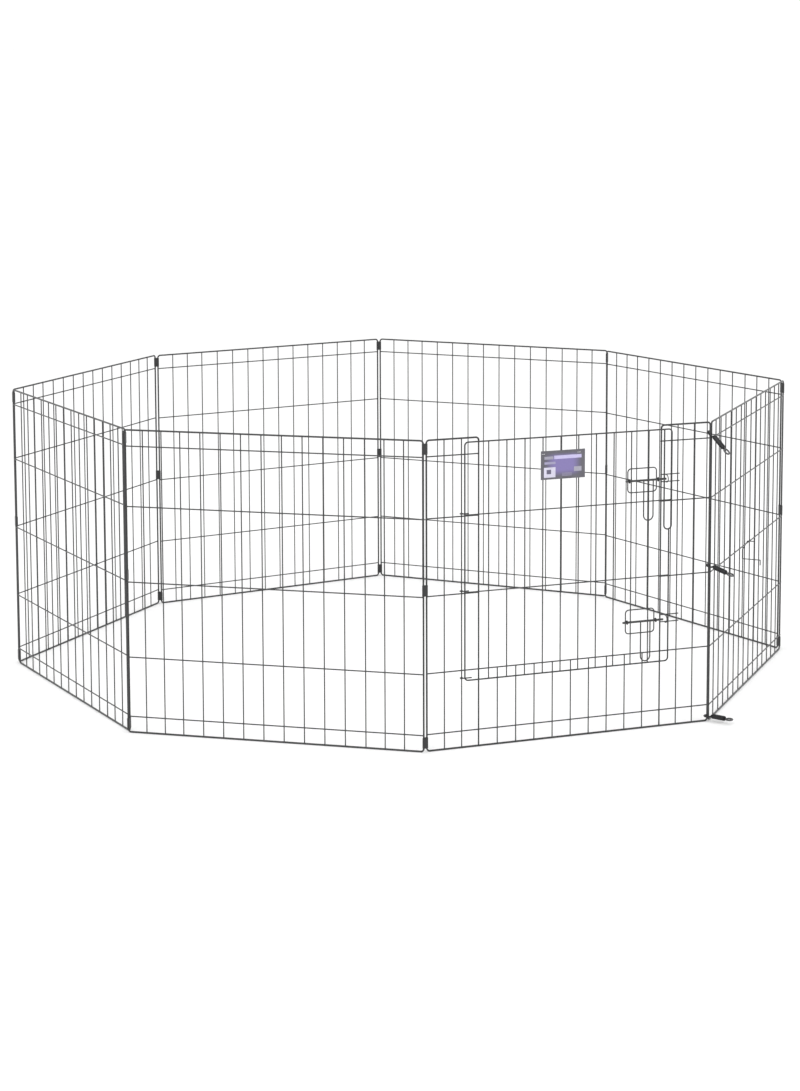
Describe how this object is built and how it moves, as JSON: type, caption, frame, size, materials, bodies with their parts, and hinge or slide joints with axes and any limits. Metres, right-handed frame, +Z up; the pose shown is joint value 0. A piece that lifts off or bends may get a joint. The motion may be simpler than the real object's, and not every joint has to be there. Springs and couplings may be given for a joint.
{
  "type": "folding wire pet playpen",
  "caption": "Ring of square welded wire panels hinged by sheet clips, with a swinging door held by two slide bolts and a corner closed by bolt snaps.",
  "frame": {"origin": "on the floor, at the middle of the ring's outline (the centre of the overall box)", "axes": "+Z up; the panel with the door faces -Y and runs along X, its hinge to the left (-X) seen from the front, the snapped corner at its +X end"},
  "size_m": [1.6442, 1.5093, 0.616],
  "materials": {
    "black_wire": "satin black coating on drawn steel wire",
    "bolt_bar": "satin black coating on steel rod",
    "clip_sheet": "satin black coating on pressed steel strip",
    "snap_casting": "dark lacquered casting",
    "snap_bolt_steel": "dark plated steel",
    "card": "printed plastic card",
    "tie": "clear nylon loop"
  },
  "bodies": {
    "door_frame_panel": {"door_panel": "black_wire", "upper_keeper": "black_wire", "lower_keeper": "black_wire"},
    "door": {"door_grille": "black_wire", "door_finger_loop": "black_wire", "door_hinge_eyes": "black_wire", "upper_latch_guide": "black_wire", "lower_latch_guide": "black_wire", "door_card": "card", "card_ties": "tie"},
    "upper_bolt": {"upper_slide_bolt": "bolt_bar"},
    "lower_bolt": {"lower_slide_bolt": "bolt_bar"},
    "wire_panel_2": {"panel_2": "black_wire", "hinge_clips_1_2": "clip_sheet"},
    "wire_panel_3": {"panel_3": "black_wire", "hinge_clips_2_3": "clip_sheet"},
    "wire_panel_4": {"panel_4": "black_wire", "hinge_clips_3_4": "clip_sheet"},
    "wire_panel_5": {"panel_5": "black_wire", "hinge_clips_4_5": "clip_sheet"},
    "wire_panel_6": {"panel_6": "black_wire", "hinge_clips_5_6": "clip_sheet"},
    "wire_panel_7": {"panel_7": "black_wire", "hinge_clips_6_7": "clip_sheet"},
    "wire_panel_8": {"panel_8": "black_wire", "hinge_clips_7_8": "clip_sheet", "wire_hook": "black_wire"},
    "top_snap": {"top_snap_body": "snap_casting"},
    "top_snap_bolt": {"top_snap_pin": "snap_bolt_steel"},
    "top_swivel": {"top_snap_eye": "snap_bolt_steel"},
    "middle_snap": {"middle_snap_body": "snap_casting"},
    "middle_snap_bolt": {"middle_snap_pin": "snap_bolt_steel"},
    "middle_swivel": {"middle_snap_eye": "snap_bolt_steel"},
    "bottom_snap": {"bottom_snap_body": "snap_casting"},
    "bottom_snap_bolt": {"bottom_snap_pin": "snap_bolt_steel"},
    "bottom_swivel": {"bottom_snap_eye": "snap_bolt_steel"}
  },
  "joints": [
    {"name": "fold_1_2", "type": "hinge", "parent": "door_frame_panel", "child": "wire_panel_2", "pos_m": [-0.1993, -0.7117, 0], "axis": [0, 0, -1], "range_deg": [0, 142.97]},
    {"name": "fold_2_3", "type": "hinge", "parent": "wire_panel_2", "child": "wire_panel_3", "pos_m": [-0.71496, -0.38317, 0], "axis": [0, 0, -1], "range_deg": [-222.65, 0]},
    {"name": "fold_3_4", "type": "hinge", "parent": "wire_panel_3", "child": "wire_panel_4", "pos_m": [-0.81911, 0.21932, 0], "axis": [0, 0, -1], "range_deg": [0, 120.88]},
    {"name": "fold_4_5", "type": "hinge", "parent": "wire_panel_4", "child": "wire_panel_5", "pos_m": [-0.39231, 0.65714, 0], "axis": [0, 0, -1], "range_deg": [-211.94, 0]},
    {"name": "fold_5_6", "type": "hinge", "parent": "wire_panel_5", "child": "wire_panel_6", "pos_m": [0.212, 0.75013, 0], "axis": [0, 0, -1], "range_deg": [0, 123.89]},
    {"name": "fold_6_7", "type": "hinge", "parent": "wire_panel_6", "child": "wire_panel_7", "pos_m": [0.66407, 0.33845, 0], "axis": [0, 0, -1], "range_deg": [-207.98, 0]},
    {"name": "fold_7_8", "type": "hinge", "parent": "wire_panel_7", "child": "wire_panel_8", "pos_m": [0.81877, -0.25308, 0], "axis": [0, 0, -1], "range_deg": [0, 118.51]},
    {"name": "door_hinge", "type": "hinge", "parent": "door_frame_panel", "child": "door", "pos_m": [-0.1273, -0.7128, 0.308], "axis": [0, 0, -1], "range_deg": [0, 120]},
    {"name": "upper_bolt_slide", "type": "slide", "parent": "door", "child": "upper_bolt", "axis": [1, 0, 0], "range_m": [-0.015, 0.006]},
    {"name": "lower_bolt_slide", "type": "slide", "parent": "door", "child": "lower_bolt", "axis": [1, 0, 0], "range_m": [-0.0135, 0.0085]},
    {"name": "top_snap_swing", "type": "hinge", "parent": "door_frame_panel", "child": "top_snap", "pos_m": [0.4071, -0.7117, 0.59], "axis": [0, 0, 1], "range_deg": [-8, 4]},
    {"name": "top_snap_bolt_slide", "type": "slide", "parent": "top_snap", "child": "top_snap_bolt", "axis": [-0.4022, 0.5964, 0.6947], "range_m": [0, 0.0106]},
    {"name": "top_swivel_turn", "type": "hinge", "parent": "top_snap", "child": "top_swivel", "pos_m": [0.42744, -0.73095, 0.5636], "axis": [0.4022, -0.5964, -0.6947], "continuous": true},
    {"name": "middle_snap_swing", "type": "hinge", "parent": "door_frame_panel", "child": "middle_snap", "pos_m": [0.4071, -0.7117, 0.321], "axis": [0, 0, 1], "range_deg": [-8, 8]},
    {"name": "middle_snap_bolt_slide", "type": "slide", "parent": "middle_snap", "child": "middle_snap_bolt", "axis": [-0.5375, 0.7969, 0.2756], "range_m": [0, 0.0106]},
    {"name": "middle_swivel_turn", "type": "hinge", "parent": "middle_snap", "child": "middle_swivel", "pos_m": [0.43258, -0.73857, 0.31053], "axis": [0.5375, -0.7969, -0.2756], "continuous": true},
    {"name": "bottom_snap_swing", "type": "hinge", "parent": "door_frame_panel", "child": "bottom_snap", "pos_m": [0.4071, -0.7117, 0.01], "axis": [0, 0, 1], "range_deg": [-8, 8]},
    {"name": "bottom_snap_bolt_slide", "type": "slide", "parent": "bottom_snap", "child": "bottom_snap_bolt", "axis": [-0.5592, 0.829, 0], "range_m": [0, 0.0106]},
    {"name": "bottom_swivel_turn", "type": "hinge", "parent": "bottom_snap", "child": "bottom_swivel", "pos_m": [0.43341, -0.73979, 0.01], "axis": [0.5592, -0.829, 0], "continuous": true}
  ],
  "couplings": [
    {"joint": "fold_2_3", "follows": "fold_1_2", "ratio": -1.5572},
    {"joint": "fold_3_4", "follows": "fold_1_2", "ratio": 0.84542},
    {"joint": "fold_4_5", "follows": "fold_1_2", "ratio": -1.4823},
    {"joint": "fold_5_6", "follows": "fold_1_2", "ratio": 0.86644},
    {"joint": "fold_6_7", "follows": "fold_1_2", "ratio": -1.4546},
    {"joint": "fold_7_8", "follows": "fold_1_2", "ratio": 0.8288}
  ]
}
